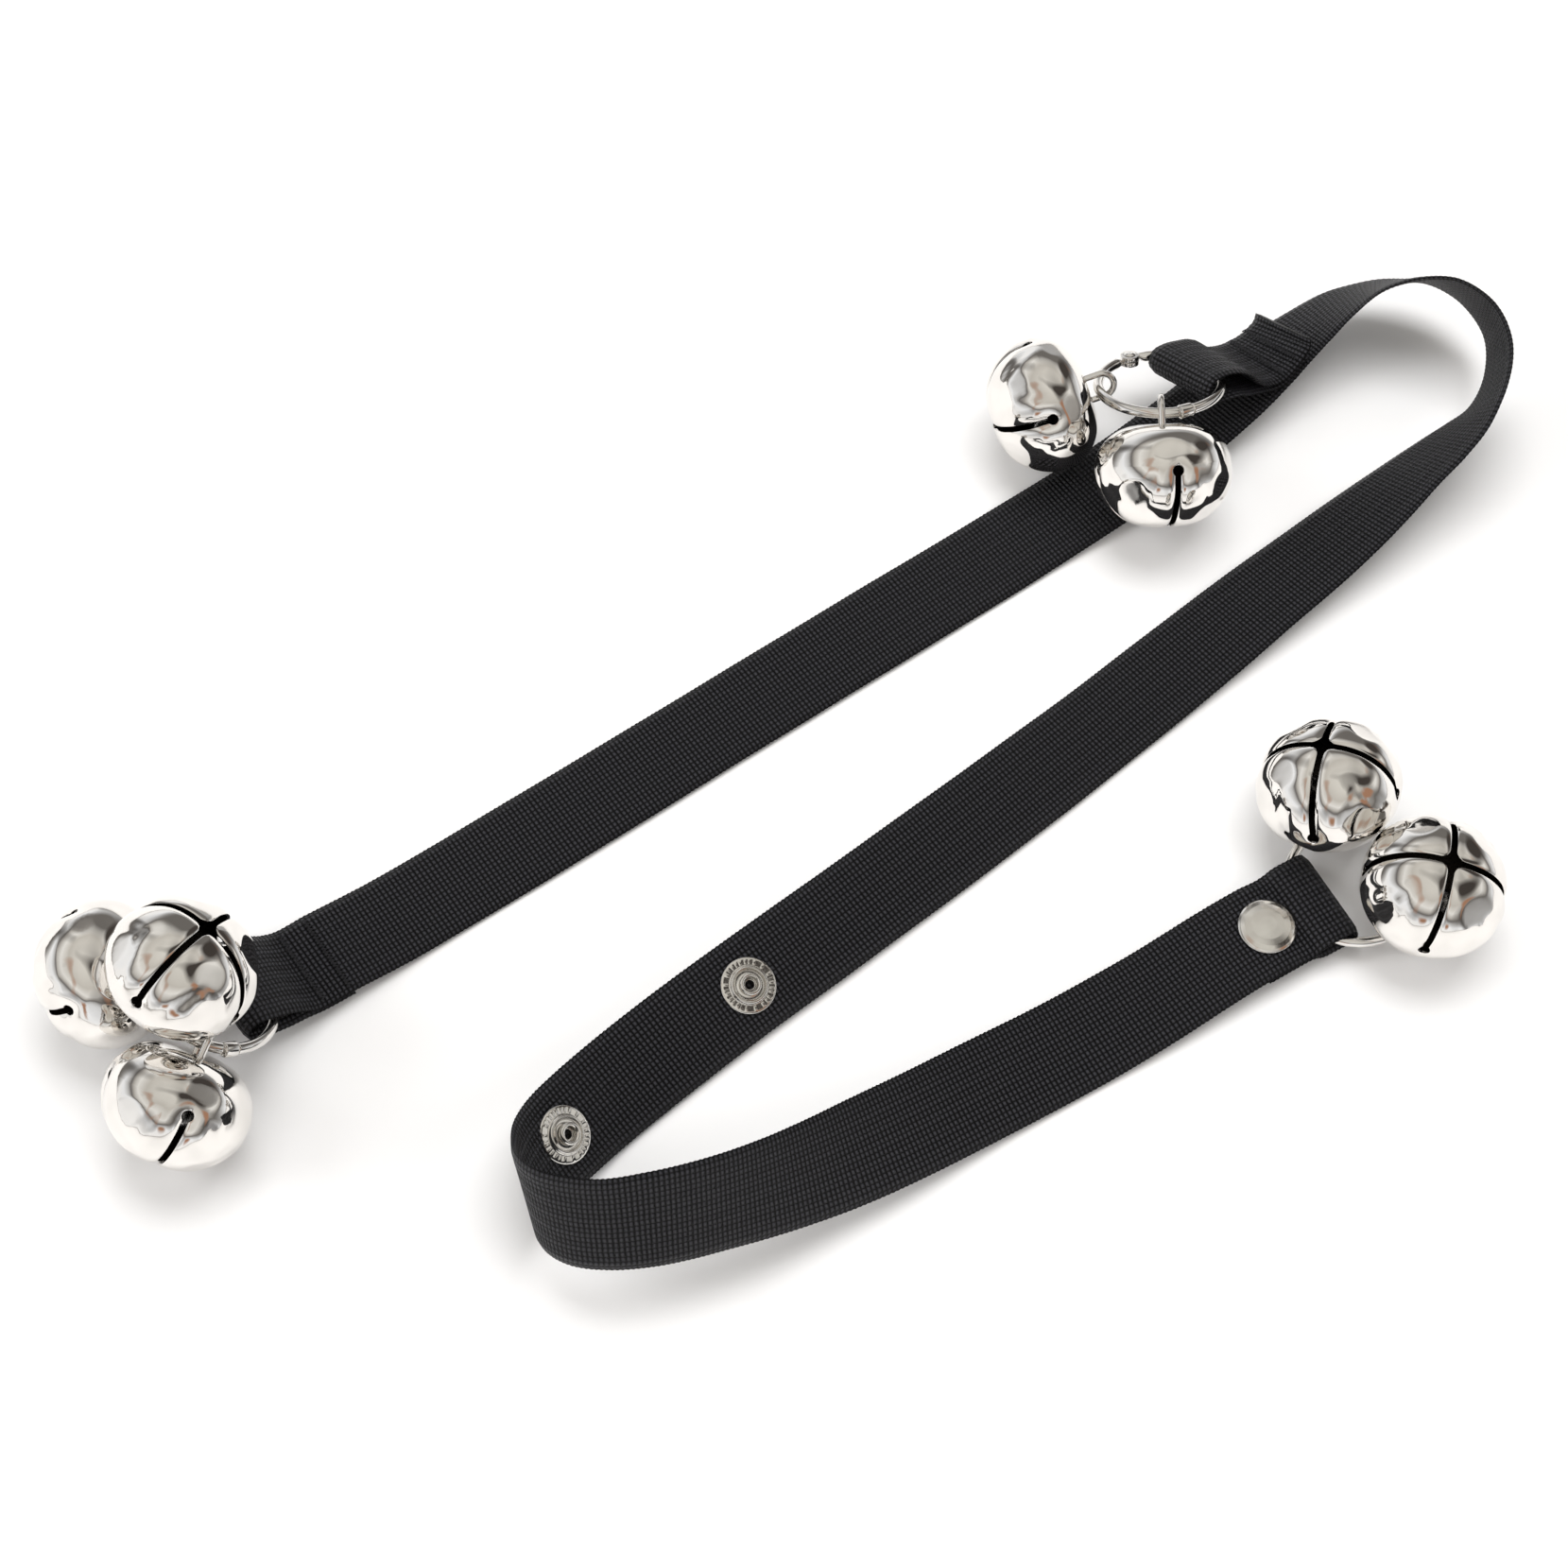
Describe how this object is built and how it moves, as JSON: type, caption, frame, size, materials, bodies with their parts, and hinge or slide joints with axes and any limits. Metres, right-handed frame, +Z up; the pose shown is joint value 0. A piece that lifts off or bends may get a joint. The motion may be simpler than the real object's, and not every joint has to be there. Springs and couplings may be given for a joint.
{
  "type": "sleigh bell strap",
  "caption": "Black webbing door strap lying in a zigzag, with press studs, split hinged rings and groups of round slotted jingle bells.",
  "frame": {"origin": "under the middle of the whole object, at the height of its lowest point", "axes": "+X along the length of the laid-out zigzag, towards the end with two bells; +Y across it, away from the viewer; +Z up"},
  "size_m": [0.3802, 0.2946, 0.0593],
  "materials": {
    "webbing": "matte woven nylon",
    "thread": "black bonded thread",
    "snap_nickel": "nickel plate, lightly scratched",
    "bell_nickel": "bright nickel plate with fine dents",
    "ring_nickel": "bright nickel plate",
    "pellet_steel": "plain steel"
  },
  "bodies": {
    "strap": {"strap_webbing": "webbing", "ring_tab": "webbing", "end_stitches": "thread", "tab_stitches": "thread", "snap_cap": "snap_nickel", "snap_socket": "snap_nickel", "snap_stud_a": "snap_nickel", "snap_post_a": "snap_nickel", "snap_stud_b": "snap_nickel", "snap_post_b": "snap_nickel"},
    "ring_end": {"ring_end_body": "ring_nickel", "ring_end_rivet": "ring_nickel"},
    "gate_end": {"ring_end_gate": "ring_nickel"},
    "ring_mid": {"ring_mid_body": "ring_nickel", "ring_mid_rivet": "ring_nickel"},
    "gate_mid": {"ring_mid_gate": "ring_nickel"},
    "ring_far": {"ring_far_body": "ring_nickel", "ring_far_rivet": "ring_nickel"},
    "gate_far": {"ring_far_gate": "ring_nickel"},
    "bell_end_rear": {"bell_end_rear_shell": "bell_nickel", "bell_end_rear_shank": "ring_nickel"},
    "pellet_end_rear": {"bell_end_rear_pellet": "pellet_steel"},
    "bell_end_front": {"bell_end_front_shell": "bell_nickel", "bell_end_front_shank": "ring_nickel"},
    "pellet_end_front": {"bell_end_front_pellet": "pellet_steel"},
    "bell_end_lower": {"bell_end_lower_shell": "bell_nickel", "bell_end_lower_shank": "ring_nickel"},
    "pellet_end_lower": {"bell_end_lower_pellet": "pellet_steel"},
    "bell_mid_left": {"bell_mid_left_shell": "bell_nickel", "bell_mid_left_shank": "ring_nickel"},
    "pellet_mid_left": {"bell_mid_left_pellet": "pellet_steel"},
    "bell_mid_right": {"bell_mid_right_shell": "bell_nickel", "bell_mid_right_shank": "ring_nickel"},
    "pellet_mid_right": {"bell_mid_right_pellet": "pellet_steel"},
    "bell_far_upper": {"bell_far_upper_shell": "bell_nickel", "bell_far_upper_shank": "ring_nickel"},
    "pellet_far_upper": {"bell_far_upper_pellet": "pellet_steel"},
    "bell_far_right": {"bell_far_right_shell": "bell_nickel", "bell_far_right_shank": "ring_nickel"},
    "pellet_far_right": {"bell_far_right_pellet": "pellet_steel"}
  },
  "joints": [
    {"name": "ring_end_swing", "type": "hinge", "parent": "strap", "child": "ring_end", "pos_m": [-0.13503, -0.07016, 0.00956], "axis": [0.5147, -0.8566, 0.0349], "range_deg": [-4, 0]},
    {"name": "ring_mid_swing", "type": "hinge", "parent": "strap", "child": "ring_mid", "pos_m": [0.10858, 0.11035, 0.02125], "axis": [0.5519, -0.7324, 0.3987], "range_deg": [-7, 0]},
    {"name": "ring_far_swing", "type": "hinge", "parent": "strap", "child": "ring_far", "pos_m": [0.12319, -0.04749, 0.00547], "axis": [-0.5, 0.866, 0], "range_deg": [-6, 6]},
    {"name": "gate_end_open", "type": "hinge", "parent": "ring_end", "child": "gate_end", "pos_m": [-0.15395, -0.06186, 0.0183], "axis": [-0.5136, -0.3407, -0.7875], "range_deg": [0, 25]},
    {"name": "gate_mid_open", "type": "hinge", "parent": "ring_mid", "child": "gate_mid", "pos_m": [0.08815, 0.11527, 0.01756], "axis": [0.0542, -0.4457, -0.8936], "range_deg": [0, 25]},
    {"name": "gate_far_open", "type": "hinge", "parent": "ring_far", "child": "gate_far", "pos_m": [0.14931, -0.05093, 0.00547], "axis": [0, 0, -1], "range_deg": [0, 25]},
    {"name": "bell_end_rear_swing", "type": "hinge", "parent": "gate_end", "child": "bell_end_rear", "pos_m": [-0.16041, -0.07033, 0.02618], "axis": [0.1658, 0.8611, -0.4806], "range_deg": [-10, 25]},
    {"name": "bell_end_front_swing", "type": "hinge", "parent": "gate_end", "child": "bell_end_front", "pos_m": [-0.15687, -0.08447, 0.02999], "axis": [0.5837, -0.8115, -0.0296], "range_deg": [0, 20]},
    {"name": "bell_end_lower_swing", "type": "hinge", "parent": "gate_end", "child": "bell_end_lower", "pos_m": [-0.14572, -0.09198, 0.02596], "axis": [-0.857, 0.1578, 0.4906], "range_deg": [-10, 12]},
    {"name": "bell_mid_left_swing", "type": "hinge", "parent": "gate_mid", "child": "bell_mid_left", "pos_m": [0.0782, 0.10178, 0.02368], "axis": [0.0252, 0.8952, -0.445], "range_deg": [-2, 30]},
    {"name": "bell_mid_right_swing", "type": "hinge", "parent": "gate_mid", "child": "bell_mid_right", "pos_m": [0.09348, 0.08697, 0.032], "axis": [-0.9955, 0.0453, -0.0829], "range_deg": [0, 30]},
    {"name": "bell_far_upper_swing", "type": "hinge", "parent": "gate_far", "child": "bell_far_upper", "pos_m": [0.13412, -0.02295, 0.00547], "axis": [-0.9781, -0.2079, 0], "range_deg": [0, 30]},
    {"name": "bell_far_right_swing", "type": "hinge", "parent": "gate_far", "child": "bell_far_right", "pos_m": [0.15195, -0.04749, 0.00547], "axis": [0.5, 0.866, 0], "range_deg": [0, 30]},
    {"name": "pellet_end_rear_hop", "type": "slide", "parent": "bell_end_rear", "child": "pellet_end_rear", "axis": [0, 0, 1], "range_m": [0, 0.0235]},
    {"name": "pellet_end_front_hop", "type": "slide", "parent": "bell_end_front", "child": "pellet_end_front", "axis": [0, 0, 1], "range_m": [0, 0.02075]},
    {"name": "pellet_end_lower_hop", "type": "slide", "parent": "bell_end_lower", "child": "pellet_end_lower", "axis": [0, 0, 1], "range_m": [0, 0.025]},
    {"name": "pellet_mid_left_hop", "type": "slide", "parent": "bell_mid_left", "child": "pellet_mid_left", "axis": [0, 0, 1], "range_m": [0, 0.0265]},
    {"name": "pellet_mid_right_hop", "type": "slide", "parent": "bell_mid_right", "child": "pellet_mid_right", "axis": [0, 0, 1], "range_m": [0, 0.023]},
    {"name": "pellet_far_upper_hop", "type": "slide", "parent": "bell_far_upper", "child": "pellet_far_upper", "axis": [0, 0, 1], "range_m": [0, 0.01875]},
    {"name": "pellet_far_right_hop", "type": "slide", "parent": "bell_far_right", "child": "pellet_far_right", "axis": [0, 0, 1], "range_m": [0, 0.01825]}
  ]
}
